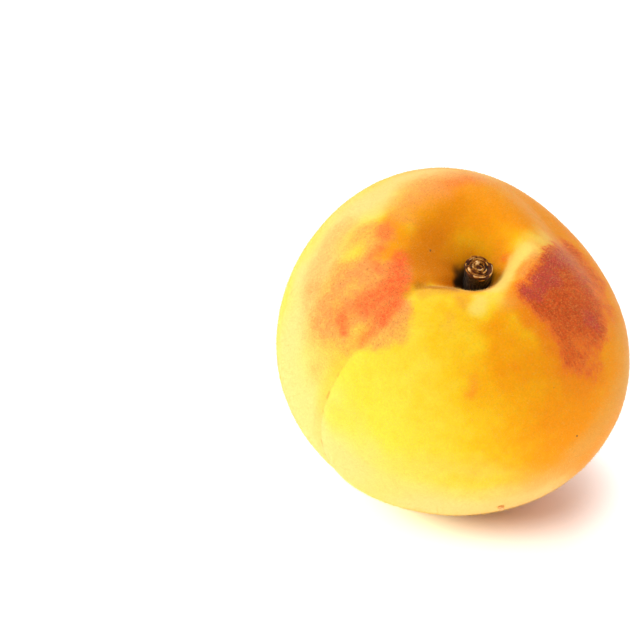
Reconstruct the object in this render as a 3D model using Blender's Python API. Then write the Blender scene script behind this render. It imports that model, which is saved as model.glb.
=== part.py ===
"""A ripe yellow peach, lying with its stem end tipped to the front, and its short stem stub.

The fruit is one solid: a slightly flattened, slightly three-sided ball with broad shoulders, a stem
cavity that is tight on one side and wide on the other, a suture down one side, a shallow trough down
the other, a dimpled tip, and the small flat spot that it rests on. The stub is a second solid, which
stands in a blind socket at the bottom of the cavity.
Metres, +Z up, the origin at the middle of the flat spot.
"""
import math

import bmesh
import bpy
from mathutils import Matrix, Vector

MM = 0.001

# Body of the fruit, in its own frame: +Z to the stem, turn 0 on the suture
EQUATOR_RADIUS = 37.5 * MM
STEM_SIDE_RADIUS = 33.2 * MM
TIP_SIDE_RADIUS = 35.0 * MM
SHOULDER_TAPER = 0.071
OVAL_SHARE = 0.020
OVAL_TURN = math.radians(56.0)
THREE_SIDED_SHARE = 0.024
THREE_SIDED_TURN = math.radians(-13.0)

# Trough on the side away from the suture
TROUGH_DEPTH = 4.1 * MM
TROUGH_TURN = math.radians(173.0)
TROUGH_SPREAD = math.radians(42.0)
TROUGH_POLAR = math.radians(43.5)
TROUGH_INNER_SPREAD = math.radians(22.0)
TROUGH_OUTER_SPREAD = math.radians(17.0)

# Suture: a groove between a full lobe and a lower one, bent at its stem end and swept at its tip
GROOVE_DEPTH = 0.30 * MM
GROOVE_WIDTH = 1.5 * MM
GROOVE_LIP_DEPTH = 1.8 * MM
GROOVE_LIP_SPREAD = math.radians(17.0)
GROOVE_TIP_DEPTH = 0.9 * MM
GROOVE_TIP_SPREAD = math.radians(26.0)
GROOVE_START = math.radians(-2.5)
GROOVE_BEND = math.radians(-5.5)
GROOVE_BEND_SPREAD = math.radians(26.0)
GROOVE_SWEEP = math.radians(6.0)
LOBE_STEP = 0.40 * MM
LOBE_STEP_WIDTH = 2.4 * MM
LOBE_STEP_SPREAD = math.radians(38.0)

# Stem cavity: a leaning bowl with a narrow pit, and the stem pulled a little to one side in it
BOWL_DEPTH = 8.6 * MM
BOWL_WIDTH = 10.0 * MM
BOWL_LEAN = 3.35 * MM
BOWL_LEAN_TURN = math.radians(286.0)
BOWL_POWER = 2.5
PIT_DEPTH = 3.5 * MM
PIT_WIDTH = 5.0 * MM
PIT_LEAN = 1.2 * MM
PIT_LEAN_TURN = math.radians(330.0)
STEM_ASIDE = 1.45 * MM
STEM_ASIDE_TURN = math.radians(150.0)
STEM_ASIDE_WIDTH = 8.0 * MM
STEM_ASIDE_POWER = 4.0

# Crest of the cavity's rim on its tight side, running past the stem and out to the trough
CREST_HEIGHT = 0.8 * MM
CREST_MIDDLE = Vector((-6.6, 6.0)) * MM
CREST_TURN = math.radians(166.0)
CREST_LENGTH = 7.0 * MM
CREST_WIDTH = 3.0 * MM

# Tip of the fruit, opposite the stem: a dimple with the dried nib of the flower in it
DIMPLE_DEPTH = 1.5 * MM
DIMPLE_WIDTH = 7.0 * MM
NIB_HEIGHT = 0.9 * MM
NIB_WIDTH = 1.3 * MM

# How the fruit lies: its axis leans off the vertical, and its middle is above the flat spot
STEM_TILT = math.radians(30.4)
TILT_HEADING = math.radians(-75.3)
SUTURE_TURN = math.radians(-63.1)
MIDDLE = Vector((-0.15, 0.78, 34.4)) * MM

# Mesh of the fruit: rows crowd towards the stem and columns towards the suture
FRUIT_COLUMNS = 76
FRUIT_ROWS = 50
ROW_CROWDING = 0.38
COLUMN_CROWDING = 0.50
FRUIT_COLOUR = (0.93, 0.56, 0.10)
FRUIT_ROUGHNESS = 0.55

# Stem stub, along the fruit's axis, its foot in the socket
STEM_FLOOR = 21.1 * MM
STEM_LENGTH = 6.7 * MM
STEM_FOOT_RADIUS = 3.0 * MM
STEM_WAIST_RADIUS = 2.75 * MM
STEM_WAIST_SHARE = 0.55
STEM_WAIST_SPREAD = 0.30
STEM_END_RADIUS = 2.8 * MM
STEM_SIDES = 24
STEM_RINGS = 9
STEM_LEAN = 1.8 * MM
STEM_LEAN_TURN = math.radians(10.0)
STEM_COLOUR = (0.16, 0.11, 0.06)
STEM_ROUGHNESS = 0.75

# Broken end of the stub: steps inwards, and a ring-shaped hollow round the middle
END_STEPS = 3
END_STEP = 0.22
END_HOLLOW_DEPTH = 1.1 * MM
END_HOLLOW_PLACE = 0.55
END_HOLLOW_SPREAD = 0.24

# Ribs and ragged rim of the stub: height, count round the stub, start of the wave
RIBS = ((0.055, 5, 0.6), (0.030, 9, 2.0))
RAGS = ((0.35 * MM, 3, 1.1), (0.25 * MM, 7, 0.0))

# Socket for the stub's foot: the row of the mesh within this share of its radius is its rim
SOCKET_RADIUS = 3.35 * MM
SOCKET_RIM_REACH = 0.2
SOCKET_DEPTH = 1.6 * MM
SOCKET_GAP = 0.3 * MM


def bell(value, width, power=2.0):
    """A smooth hump, 1 in its middle."""
    return math.exp(-abs(value / width) ** power)


def waves(table, turn):
    """Sum of the waves in a table, at a turn."""
    return sum(height * math.sin(count * turn + start) for height, count, start in table)


def suture_path(polar):
    """Turn at which the suture crosses a ring of the fruit."""
    bend = GROOVE_BEND * bell(polar, GROOVE_BEND_SPREAD)
    return GROOVE_START + bend + GROOVE_SWEEP * (1 - math.cos(polar)) ** 2


def suture_inset(polar, reach, turn):
    """How far the skin lies below the plain body near the suture."""
    off = math.remainder(turn - suture_path(polar), math.tau)
    across = reach * off
    depth = GROOVE_DEPTH
    depth += GROOVE_LIP_DEPTH * bell(polar, GROOVE_LIP_SPREAD)
    depth += GROOVE_TIP_DEPTH * bell(math.pi - polar, GROOVE_TIP_SPREAD)
    step = LOBE_STEP * math.tanh(across / LOBE_STEP_WIDTH) * bell(off, LOBE_STEP_SPREAD)
    return depth * bell(across, GROOVE_WIDTH) - step * math.sin(polar)


def trough_inset(polar, turn):
    """How far the skin lies below the plain body in the trough."""
    off = math.remainder(turn - TROUGH_TURN, math.tau)
    spread = TROUGH_INNER_SPREAD if polar < TROUGH_POLAR else TROUGH_OUTER_SPREAD
    return TROUGH_DEPTH * bell(off, TROUGH_SPREAD) * bell(polar - TROUGH_POLAR, spread)


def cavity_depth(reach, turn):
    """Depth of the stem cavity at a distance from the axis."""
    bowl_width = BOWL_WIDTH + BOWL_LEAN * math.cos(turn - BOWL_LEAN_TURN)
    pit_width = PIT_WIDTH + PIT_LEAN * math.cos(turn - PIT_LEAN_TURN)
    return BOWL_DEPTH * bell(reach, bowl_width, BOWL_POWER) + PIT_DEPTH * bell(reach, pit_width)


def crest_rise(flat):
    """Height of the crest above a point of the plane across the axis."""
    off = flat - CREST_MIDDLE
    along = off.x * math.cos(CREST_TURN) + off.y * math.sin(CREST_TURN)
    across = off.y * math.cos(CREST_TURN) - off.x * math.sin(CREST_TURN)
    return CREST_HEIGHT * bell(along, CREST_LENGTH) * bell(across, CREST_WIDTH)


def stem_foot():
    """Where the stub stands, to one side of the fruit's axis."""
    return Vector((math.cos(STEM_ASIDE_TURN), math.sin(STEM_ASIDE_TURN), 0)) * STEM_ASIDE


def skin_point(polar, turn):
    """Point of the skin in the fruit's own frame, from the angle off the stem and the turn."""
    side = math.sin(polar)
    height = math.cos(polar)
    girth = 1.0
    girth += OVAL_SHARE * side ** 2 * math.cos(2 * (turn - OVAL_TURN))
    girth += THREE_SIDED_SHARE * side ** 3 * math.cos(3 * (turn - THREE_SIDED_TURN))
    pole_radius = STEM_SIDE_RADIUS + (TIP_SIDE_RADIUS - STEM_SIDE_RADIUS) * (1 - height) / 2
    reach = EQUATOR_RADIUS * side * girth * (1 + SHOULDER_TAPER * height)
    rise = pole_radius * height * girth
    inset = trough_inset(polar, turn) + suture_inset(polar, reach, turn)
    reach -= inset * side
    rise -= inset * height
    point = Vector((reach * math.cos(turn), reach * math.sin(turn), rise))
    if height > 0:
        point.z += crest_rise(point.xy) - cavity_depth(reach, turn)
        point += stem_foot() * bell(reach, STEM_ASIDE_WIDTH, STEM_ASIDE_POWER)
    else:
        point.z += DIMPLE_DEPTH * bell(reach, DIMPLE_WIDTH) - NIB_HEIGHT * bell(reach, NIB_WIDTH)
    return point


def lie_matrix():
    """From the fruit's own frame to where it lies."""
    turned = Matrix.Rotation(TILT_HEADING, 4, "Z")
    turned @= Matrix.Rotation(STEM_TILT, 4, "Y")
    turned @= Matrix.Rotation(SUTURE_TURN, 4, "Z")
    return Matrix.Translation(MIDDLE) @ turned


def shape_skin(bm):
    """Moves a unit sphere's vertices to the skin."""
    for vert in bm.verts:
        polar = math.acos(max(-1.0, min(1.0, vert.co.z)))
        turn = math.atan2(vert.co.y, vert.co.x)
        polar -= ROW_CROWDING * math.sin(polar)
        turn -= COLUMN_CROWDING * math.sin(turn)
        vert.co = skin_point(polar, turn)


def sink_socket(bm):
    """Sinks the skin round the stem's foot straight down to a flat floor, as a round socket."""
    middle = stem_foot().xy
    reach = SOCKET_RADIUS * (1 + SOCKET_RIM_REACH)
    inner = [face for face in bm.faces
             if all(vert.co.z > 0 and (vert.co.xy - middle).length < reach for vert in face.verts)]
    for vert in {vert for face in inner for vert in face.verts}:
        out = vert.co.xy - middle
        if out.length > SOCKET_RADIUS * (1 - SOCKET_RIM_REACH):
            vert.co.xy = middle + out * (SOCKET_RADIUS / out.length)
    sunk = bmesh.ops.extrude_face_region(bm, geom=inner)
    floor = [item for item in sunk["geom"] if isinstance(item, bmesh.types.BMFace)]
    for item in sunk["geom"]:
        if isinstance(item, bmesh.types.BMVert):
            item.co.z = STEM_FLOOR - SOCKET_DEPTH
    bmesh.ops.delete(bm, geom=inner, context="FACES")
    bmesh.ops.dissolve_faces(bm, faces=floor)


def cut_rest_spot(bm):
    """Cuts the underside off flat at the surface it lies on and closes it with one face."""
    everything = bm.verts[:] + bm.edges[:] + bm.faces[:]
    cut = bmesh.ops.bisect_plane(bm, geom=everything, plane_co=(0, 0, 0), plane_no=(0, 0, 1),
                                 clear_inner=True)
    rim = [item for item in cut["geom_cut"] if isinstance(item, bmesh.types.BMEdge)]
    bmesh.ops.holes_fill(bm, edges=rim, sides=0)


def new_object(name, bm, collection):
    """Turns a bmesh into a named object."""
    bmesh.ops.recalc_face_normals(bm, faces=bm.faces)
    mesh = bpy.data.meshes.new(name)
    bm.to_mesh(mesh)
    bm.free()
    mesh.shade_smooth()
    piece = bpy.data.objects.new(name, mesh)
    collection.objects.link(piece)
    return piece


def add_material(piece, colour, roughness):
    """Gives a piece its own Principled material."""
    material = bpy.data.materials.new(piece.name)
    material.use_nodes = True
    shader = material.node_tree.nodes["Principled BSDF"]
    shader.inputs["Base Color"].default_value = (*colour, 1.0)
    shader.inputs["Roughness"].default_value = roughness
    shader.inputs["Metallic"].default_value = 0.0
    piece.data.materials.append(material)


def make_fruit(collection):
    """The whole fruit, with the socket for the stub and the spot that it rests on."""
    bm = bmesh.new()
    bmesh.ops.create_uvsphere(bm, u_segments=FRUIT_COLUMNS, v_segments=FRUIT_ROWS, radius=1.0)
    shape_skin(bm)
    sink_socket(bm)
    bmesh.ops.transform(bm, matrix=lie_matrix(), verts=bm.verts)
    cut_rest_spot(bm)
    fruit = new_object("fruit", bm, collection)
    add_material(fruit, FRUIT_COLOUR, FRUIT_ROUGHNESS)


def stem_radius(share):
    """Radius of the stub at a share of its length, from the foot to the broken end."""
    plain = STEM_FOOT_RADIUS + (STEM_END_RADIUS - STEM_FOOT_RADIUS) * share
    return plain + (STEM_WAIST_RADIUS - plain) * bell(share - STEM_WAIST_SHARE, STEM_WAIST_SPREAD)


def stem_point(share, spread, turn):
    """Point of the stub from its share of the length, its share of the radius and its turn."""
    foot = STEM_FLOOR - SOCKET_DEPTH + SOCKET_GAP
    length = STEM_FLOOR + STEM_LENGTH - foot
    radius = stem_radius(share) * spread * (1 + share * waves(RIBS, turn))
    rise = foot + length * share
    if share > 0.99:
        rise += spread * waves(RAGS, turn)
        rise -= END_HOLLOW_DEPTH * bell(spread - END_HOLLOW_PLACE, END_HOLLOW_SPREAD)
    lean = STEM_LEAN * share ** 2
    point = stem_foot() + Vector((radius * math.cos(turn), radius * math.sin(turn), rise))
    return point + Vector((math.cos(STEM_LEAN_TURN), math.sin(STEM_LEAN_TURN), 0)) * lean


def make_stem(collection):
    """The stub: ribbed, waisted and leaning, with a broken end that is raised at its rim."""
    bm = bmesh.new()
    bmesh.ops.create_cone(bm, cap_ends=True, segments=STEM_SIDES, radius1=1.0, radius2=1.0,
                          depth=1.0)
    upright = [edge for edge in bm.edges if abs(edge.verts[0].co.z - edge.verts[1].co.z) > 0.5]
    bmesh.ops.subdivide_edges(bm, edges=upright, cuts=STEM_RINGS - 2)
    bm.normal_update()
    end = [face for face in bm.faces if face.normal.z > 0.9]
    for _ in range(END_STEPS):
        bmesh.ops.inset_region(bm, faces=end, thickness=END_STEP)
    for vert in bm.verts:
        spread = math.hypot(vert.co.x, vert.co.y)
        turn = math.atan2(vert.co.y, vert.co.x)
        vert.co = stem_point(vert.co.z + 0.5, spread, turn)
    bmesh.ops.transform(bm, matrix=lie_matrix(), verts=bm.verts)
    stem = new_object("stem", bm, collection)
    add_material(stem, STEM_COLOUR, STEM_ROUGHNESS)


def main():
    for item in list(bpy.data.objects):
        bpy.data.objects.remove(item)
    parts = bpy.data.collections.new("peach")
    bpy.context.scene.collection.children.link(parts)
    make_fruit(parts)
    make_stem(parts)


main()
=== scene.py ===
"""Looks of the ripe yellow peach: skin, fuzz, stem stub, floor, light and camera."""

import math
from types import SimpleNamespace

import bmesh
import bpy
import numpy as np
from mathutils import Euler, Matrix, Vector, noise


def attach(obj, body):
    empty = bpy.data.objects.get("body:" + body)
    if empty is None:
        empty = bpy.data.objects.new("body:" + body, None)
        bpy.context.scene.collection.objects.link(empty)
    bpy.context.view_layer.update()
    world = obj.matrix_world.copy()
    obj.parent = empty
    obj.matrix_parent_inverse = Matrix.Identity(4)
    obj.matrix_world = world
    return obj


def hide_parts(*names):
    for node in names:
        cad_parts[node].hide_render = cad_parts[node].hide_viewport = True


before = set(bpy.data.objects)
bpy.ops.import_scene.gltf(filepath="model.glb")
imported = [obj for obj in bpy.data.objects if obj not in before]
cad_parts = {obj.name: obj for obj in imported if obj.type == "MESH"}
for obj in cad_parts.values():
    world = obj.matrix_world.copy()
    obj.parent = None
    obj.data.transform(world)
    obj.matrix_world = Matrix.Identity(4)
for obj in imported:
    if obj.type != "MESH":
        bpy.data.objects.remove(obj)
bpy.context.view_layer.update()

MM = 0.001

# Body of the fruit, in its own frame: +Z to the stem, turn 0 on the suture
EQUATOR_RADIUS = 37.5 * MM
STEM_SIDE_RADIUS = 33.2 * MM
TIP_SIDE_RADIUS = 35.0 * MM
SHOULDER_TAPER = 0.071
OVAL_SHARE = 0.020
OVAL_TURN = math.radians(56.0)
THREE_SIDED_SHARE = 0.024
THREE_SIDED_TURN = math.radians(-13.0)

# Trough on the side away from the suture
TROUGH_DEPTH = 4.1 * MM
TROUGH_TURN = math.radians(173.0)
TROUGH_SPREAD = math.radians(42.0)
TROUGH_POLAR = math.radians(43.5)
TROUGH_INNER_SPREAD = math.radians(22.0)
TROUGH_OUTER_SPREAD = math.radians(17.0)

# Suture
GROOVE_DEPTH = 0.30 * MM
GROOVE_WIDTH = 1.5 * MM
GROOVE_LIP_DEPTH = 1.8 * MM
GROOVE_LIP_SPREAD = math.radians(17.0)
GROOVE_TIP_DEPTH = 0.9 * MM
GROOVE_TIP_SPREAD = math.radians(26.0)
GROOVE_START = math.radians(-2.5)
GROOVE_BEND = math.radians(-5.5)
GROOVE_BEND_SPREAD = math.radians(26.0)
GROOVE_SWEEP = math.radians(6.0)
LOBE_STEP = 0.40 * MM
LOBE_STEP_WIDTH = 2.4 * MM
LOBE_STEP_SPREAD = math.radians(38.0)

# Stem cavity
BOWL_DEPTH = 8.6 * MM
BOWL_WIDTH = 10.0 * MM
BOWL_LEAN = 3.35 * MM
BOWL_LEAN_TURN = math.radians(286.0)
BOWL_POWER = 2.5
PIT_DEPTH = 3.5 * MM
PIT_WIDTH = 5.0 * MM
PIT_LEAN = 1.2 * MM
PIT_LEAN_TURN = math.radians(330.0)
STEM_ASIDE = 1.45 * MM
STEM_ASIDE_TURN = math.radians(150.0)
STEM_ASIDE_WIDTH = 8.0 * MM
STEM_ASIDE_POWER = 4.0

# Crest of the cavity's rim
CREST_HEIGHT = 0.8 * MM
CREST_MIDDLE = Vector((-6.6, 6.0)) * MM
CREST_TURN = math.radians(166.0)
CREST_LENGTH = 7.0 * MM
CREST_WIDTH = 3.0 * MM

# Tip of the fruit
DIMPLE_DEPTH = 1.5 * MM
DIMPLE_WIDTH = 7.0 * MM
NIB_HEIGHT = 0.9 * MM
NIB_WIDTH = 0.8 * MM

# How the fruit lies
STEM_TILT = math.radians(30.4)
TILT_HEADING = math.radians(-75.3)
SUTURE_TURN = math.radians(-63.1)
MIDDLE = Vector((-0.15, 0.78, 34.4)) * MM

# Skin: columns and rows of its mesh, and the soft unevenness of the flesh below it
SKIN_COLUMNS = 360
SKIN_ROWS = 250
ROW_CROWDING = 0.30
COLUMN_CROWDING = 0.35
SWELL_SIZE = 11.0 * MM
SWELL_HEIGHT = 0.10 * MM
SWELL_FINER = 2.3

# Fuzz: pieces, hairs in a piece as a power of two, and the size and lie of a hair
FUZZ_PIECES = 5
FUZZ_DOUBLINGS = 15
FUZZ_SEED = 7
HAIR_LENGTH = (0.22 * MM, 0.50 * MM)
HAIR_RADIUS = 0.014 * MM
HAIR_SUNK = 0.05 * MM
HAIR_SPREAD = 0.45
HAIR_COMB = 0.25
HAIR_SPACING = 4.0
FLOOR_CLEARANCE = 0.03 * MM
SHEET_MARGIN = 0.001
SHEET_HAIR = 0.0005

# Stem stub
STEM_FLOOR = 21.1 * MM
STEM_LENGTH = 6.7 * MM
STEM_FOOT_RADIUS = 3.0 * MM
STEM_WAIST_RADIUS = 2.75 * MM
STEM_WAIST_SHARE = 0.55
STEM_WAIST_SPREAD = 0.30
STEM_END_RADIUS = 2.8 * MM
STEM_SUNK = 2.2 * MM
STEM_LEAN = 1.8 * MM
STEM_LEAN_TURN = math.radians(10.0)
STEM_SIDES = 96
STEM_RINGS = 60
END_FROM = 0.99
ROSETTE_SHARE = 0.98
END_STEPS = 12
END_STEP = 0.07
END_HOLLOW_DEPTH = 0.6 * MM
END_HOLLOW_PLACE = 0.55
END_HOLLOW_SPREAD = 0.24
RIBS = ((0.055, 5, 0.6), (0.030, 9, 2.0))
RAGS = ((0.10 * MM, 3, 1.1), (0.12 * MM, 7, 0.0))

# Height in the fruit's own frame, in millimetres, over which the bark turns to broken wood
BROKEN_FROM = 27.1
BROKEN_TO = 27.6

# Brown fibres of the broken end
FIBRES = 48
FIBRE_SEED = 3
FIBRE_CURL = (0.35 * MM, 2.80 * MM)
FIBRE_THICKNESS = (0.06 * MM, 0.17 * MM)
FIBRE_SWEEP = (0.7, 2.4)
FIBRE_RISE = 0.35 * MM
FIBRE_TIP = 0.16
FIBRE_DOME = 0.06 * MM
FIBRE_LIFT = 0.16 * MM
FIBRE_SIDES = 7
FIBRE_STEPS = 16
FIBRE_TAPER = 0.65
FIBRE_SHADES = ((0.11, 0.024, 0.002), (0.32, 0.095, 0.008), (0.66, 0.29, 0.045))

# Pale splinters that stand out of them: curl and thickness in millimetres, start and sweep in
# degrees
SPLINTERS = (
    (2.15, 0.25, -30.0, 95.0),
    (2.55, 0.13, 20.0, 60.0),
    (1.55, 0.18, 80.0, 50.0),
    (2.45, 0.16, -118.0, 36.0),
    (2.50, 0.18, -160.0, 34.0),
    (2.72, 0.12, 96.0, 62.0),
    (0.75, 0.15, 20.0, 110.0),
    (1.20, 0.12, -80.0, 60.0),
)
SPLINTER_LIFT = 0.30 * MM
KNOT_PLACE = Vector((-0.30, -1.10, 0.10)) * MM
KNOT_SIZE = (0.80 * MM, 0.52 * MM, 0.32 * MM)
KNOT_LUMPS = 0.70
KNOT_WAVE = 2.4
SPLINTER_SHADES = ((0.34, 0.10, 0.012), (0.74, 0.36, 0.09), (0.95, 0.62, 0.28))

# Specks on the skin and a small bump: place in the fruit's own frame, radius and height, in
# millimetres
BUMP_PLACE = (15.2, 33.9, -5.6)
SPECKS = (
    (BUMP_PLACE, 0.65, 0.42),
    ((2.3, 36.1, 13.0), 0.28, 0.12),
    ((4.9, 28.6, 22.9), 0.22, 0.10),
    ((4.8, -8.4, 26.5), 0.30, 0.10),
)
SPECK_LUMPS = 0.5
SPECK_WAVE = 1.5
BUMP_REACH = 1.5
BUMP_SOFT = 0.5

# Light of the room, and the lamps: name, place, size in metres and power in watts
ROOM_LIGHT = 0.66
LAMPS = (
    ("left_lamp", (-0.70, -0.15, 0.58), 0.45, 3.8),
    ("top_lamp", (0.12, 0.35, 0.80), 0.50, 2.2),
)

# Paper, in metres, and its glow away from the fruit: painted light that leaves only a tight shadow
# under it
FLOOR_SIZE = 3.0
PAINTED_LIGHT_MIDDLE = Vector((13.0, 5.0, 0.0)) * MM
PAINTED_LIGHT_FROM = 16.0 * MM
PAINTED_LIGHT_TO = 32.0 * MM

# Camera
CAMERA_RISE = math.radians(24.0)
CAMERA_DISTANCE = 321.0 * MM
CAMERA_LENS = 85.0
SENSOR = 36.0
IMAGE = 640.0
FRUIT_PIXEL = (449.3, 344.2)


def bell(value, width, power=2.0):
    """A smooth hump, 1 in its middle."""
    return math.exp(-abs(value / width) ** power)


def waves(table, turn):
    """Sum of the waves in a table, at a turn."""
    return sum(height * math.sin(count * turn + start) for height, count, start in table)


def suture_path(polar):
    """Turn at which the suture crosses a ring of the fruit."""
    bend = GROOVE_BEND * bell(polar, GROOVE_BEND_SPREAD)
    return GROOVE_START + bend + GROOVE_SWEEP * (1 - math.cos(polar)) ** 2


def suture_inset(polar, reach, turn):
    """How far the skin lies below the plain body near the suture."""
    off = math.remainder(turn - suture_path(polar), math.tau)
    across = reach * off
    depth = GROOVE_DEPTH
    depth += GROOVE_LIP_DEPTH * bell(polar, GROOVE_LIP_SPREAD)
    depth += GROOVE_TIP_DEPTH * bell(math.pi - polar, GROOVE_TIP_SPREAD)
    step = LOBE_STEP * math.tanh(across / LOBE_STEP_WIDTH) * bell(off, LOBE_STEP_SPREAD)
    return depth * bell(across, GROOVE_WIDTH) - step * math.sin(polar)


def trough_inset(polar, turn):
    """How far the skin lies below the plain body in the trough."""
    off = math.remainder(turn - TROUGH_TURN, math.tau)
    spread = TROUGH_INNER_SPREAD if polar < TROUGH_POLAR else TROUGH_OUTER_SPREAD
    return TROUGH_DEPTH * bell(off, TROUGH_SPREAD) * bell(polar - TROUGH_POLAR, spread)


def cavity_depth(reach, turn):
    """Depth of the stem cavity at a distance from the axis."""
    bowl_width = BOWL_WIDTH + BOWL_LEAN * math.cos(turn - BOWL_LEAN_TURN)
    pit_width = PIT_WIDTH + PIT_LEAN * math.cos(turn - PIT_LEAN_TURN)
    return BOWL_DEPTH * bell(reach, bowl_width, BOWL_POWER) + PIT_DEPTH * bell(reach, pit_width)


def crest_rise(flat):
    """Height of the crest above a point of the plane across the axis."""
    off = flat - CREST_MIDDLE
    along = off.x * math.cos(CREST_TURN) + off.y * math.sin(CREST_TURN)
    across = off.y * math.cos(CREST_TURN) - off.x * math.sin(CREST_TURN)
    return CREST_HEIGHT * bell(along, CREST_LENGTH) * bell(across, CREST_WIDTH)


def stem_foot():
    """Where the stub stands, to one side of the fruit's axis."""
    return Vector((math.cos(STEM_ASIDE_TURN), math.sin(STEM_ASIDE_TURN), 0)) * STEM_ASIDE


def skin_point(polar, turn):
    """Point of the skin in the fruit's own frame, from the angle off the stem and the turn."""
    side = math.sin(polar)
    height = math.cos(polar)
    girth = 1.0
    girth += OVAL_SHARE * side ** 2 * math.cos(2 * (turn - OVAL_TURN))
    girth += THREE_SIDED_SHARE * side ** 3 * math.cos(3 * (turn - THREE_SIDED_TURN))
    pole_radius = STEM_SIDE_RADIUS + (TIP_SIDE_RADIUS - STEM_SIDE_RADIUS) * (1 - height) / 2
    reach = EQUATOR_RADIUS * side * girth * (1 + SHOULDER_TAPER * height)
    rise = pole_radius * height * girth
    inset = trough_inset(polar, turn) + suture_inset(polar, reach, turn)
    reach -= inset * side
    rise -= inset * height
    point = Vector((reach * math.cos(turn), reach * math.sin(turn), rise))
    if height > 0:
        point.z += crest_rise(point.xy) - cavity_depth(reach, turn)
        point += stem_foot() * bell(reach, STEM_ASIDE_WIDTH, STEM_ASIDE_POWER)
    else:
        point.z += DIMPLE_DEPTH * bell(reach, DIMPLE_WIDTH) - NIB_HEIGHT * bell(reach, NIB_WIDTH)
    return point


def lie_turn():
    """How the fruit is turned."""
    turned = Matrix.Rotation(TILT_HEADING, 4, "Z")
    turned @= Matrix.Rotation(STEM_TILT, 4, "Y")
    turned @= Matrix.Rotation(SUTURE_TURN, 4, "Z")
    return turned


LIE = Matrix.Translation(MIDDLE) @ lie_turn()


class Wire:
    """A socket of a finish's node tree. Sums on it add nodes."""

    def __init__(self, tree, socket=None):
        self.tree = tree
        self.socket = socket

    def add(self, kind, settings=None, inputs=None, output=0):
        """Adds a node: its settings first, then the values or links of its sockets."""
        node = self.tree.nodes.new("ShaderNode" + kind)
        for name, value in (settings or {}).items():
            if name == "stops":
                while len(node.color_ramp.elements) < len(value):
                    node.color_ramp.elements.new(0.5)
                for element, (place, tint) in zip(node.color_ramp.elements, value):
                    element.position = place
                    element.color = tint
            else:
                setattr(node, name, value)
        for name, value in (inputs or {}).items():
            if isinstance(value, Wire):
                self.tree.links.new(value.socket, node.inputs[name])
            else:
                node.inputs[name].default_value = value
        return Wire(self.tree, node.outputs[output])

    def sum(self, operation, *values):
        """A Math node on this value and the others."""
        return self.add("Math", {"operation": operation}, dict(enumerate((self, *values))))

    def vector(self, operation, *values, output=0):
        """A Vector Math node on this vector and the others."""
        inputs = dict(enumerate((self, *values)))
        return self.add("VectorMath", {"operation": operation}, inputs, output)

    def __add__(self, other):
        return self.sum("ADD", other)

    def __radd__(self, other):
        return self.sum("ADD", other)

    def __sub__(self, other):
        return self.sum("SUBTRACT", other)

    def __rsub__(self, other):
        return (self * -1.0).sum("ADD", other)

    def __mul__(self, other):
        return self.sum("MULTIPLY", other)

    def most(self, other):
        """The larger of two values."""
        return self.sum("MAXIMUM", other)

    def step(self, low, high, at_low=0.0, at_high=1.0):
        """A smooth step from one value to another as this one goes from low to high."""
        limits = {"Value": self, "From Min": low, "From Max": high, "To Min": at_low,
                  "To Max": at_high}
        return self.add("MapRange", {"interpolation_type": "SMOOTHSTEP"}, limits)

    def axis(self, number):
        """One coordinate of this vector."""
        return self.add("SeparateXYZ", {}, {0: self}, number)

    def scaled(self, factor):
        """This vector made longer by a factor."""
        return self.add("VectorMath", {"operation": "SCALE"}, {0: self, 3: factor})

    def grain(self, size, detail=2.0, roughness=0.5, output=0):
        """Noise whose lumps are about this size, in the units of this vector."""
        inputs = {"Vector": self, "Scale": 1.0 / size, "Detail": detail, "Roughness": roughness}
        return self.add("TexNoise", {}, inputs, output)

    def shifted(self, size, reach, detail=2.0):
        """This place moved by a noise, so that what is drawn on it gets a ragged edge."""
        drift = self.grain(size, detail=detail, output=1).vector("SUBTRACT", (0.5, 0.5, 0.5))
        return self.vector("ADD", drift.scaled(reach))

    def cells(self, size, feature="F1"):
        """Distance to the nearest of scattered points, as a share of their spacing."""
        inputs = {"Vector": self, "Scale": 1.0 / size}
        return self.add("TexVoronoi", {"feature": feature}, inputs)

    def blend(self, first, second):
        """Two colours mixed by this share."""
        return self.add("Mix", {"data_type": "RGBA"}, {0: self, 6: first, 7: second}, 2)

    def ramp(self, *stops):
        """A colour read from stops by this value."""
        return self.add("ValToRGB", {"stops": stops}, {0: self})

    def times(self, share):
        """This colour made darker or lighter by a share."""
        return self.vector("MULTIPLY", share.add("CombineXYZ", {}, {0: share, 1: share, 2: share}))


def colour(red, green, blue):
    """A colour as a node holds it."""
    return (red, green, blue, 1.0)


def new_finish(name, **values):
    """A material, a wire to its tree and its shader, whose sockets take the even values."""
    material = bpy.data.materials.new(name)
    material.use_nodes = True
    shader = material.node_tree.nodes["Principled BSDF"]
    for key, value in values.items():
        shader.inputs[key.replace("_", " ")].default_value = value
    return material, Wire(material.node_tree), shader


def connect(wire, shader, name):
    """Links a wire to a socket of the shader."""
    wire.tree.links.new(wire.socket, shader.inputs[name])


def own_place(wire):
    """Place in the fruit's own frame, in millimetres."""
    place = wire.add("TexCoord", output=3)
    turned = tuple(lie_turn().to_euler())
    inputs = {"Vector": place, "Location": MIDDLE, "Rotation": turned, "Scale": (MM, MM, MM)}
    return wire.add("Mapping", {"vector_type": "TEXTURE"}, inputs)


def touch(place, start, end, radius, soft):
    """1 within a radius of the line from start to end, and 0 beyond its soft edge."""
    line = Vector(end) - Vector(start)
    if line.length < 0.1:
        distance = place.vector("DISTANCE", start, output=1)
    else:
        offset = place.vector("SUBTRACT", start)
        share = offset.vector("DOT_PRODUCT", tuple(line / line.length_squared), output=1)
        share = share.sum("MAXIMUM", 0.0).sum("MINIMUM", 1.0)
        near = share.add("VectorMath", {"operation": "SCALE"}, {0: tuple(line), 3: share})
        distance = offset.vector("DISTANCE", near, output=1)
    return distance.step(radius - soft / 2, radius + soft / 2, 1.0, 0.0)


def touches(place, table):
    """All touches of a table together, each with its strength."""
    rest = None
    for start, end, radius, soft, strength in table:
        left = 1.0 - touch(place, start, end, radius, soft) * strength
        rest = left if rest is None else rest * left
    return 1.0 - rest


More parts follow.
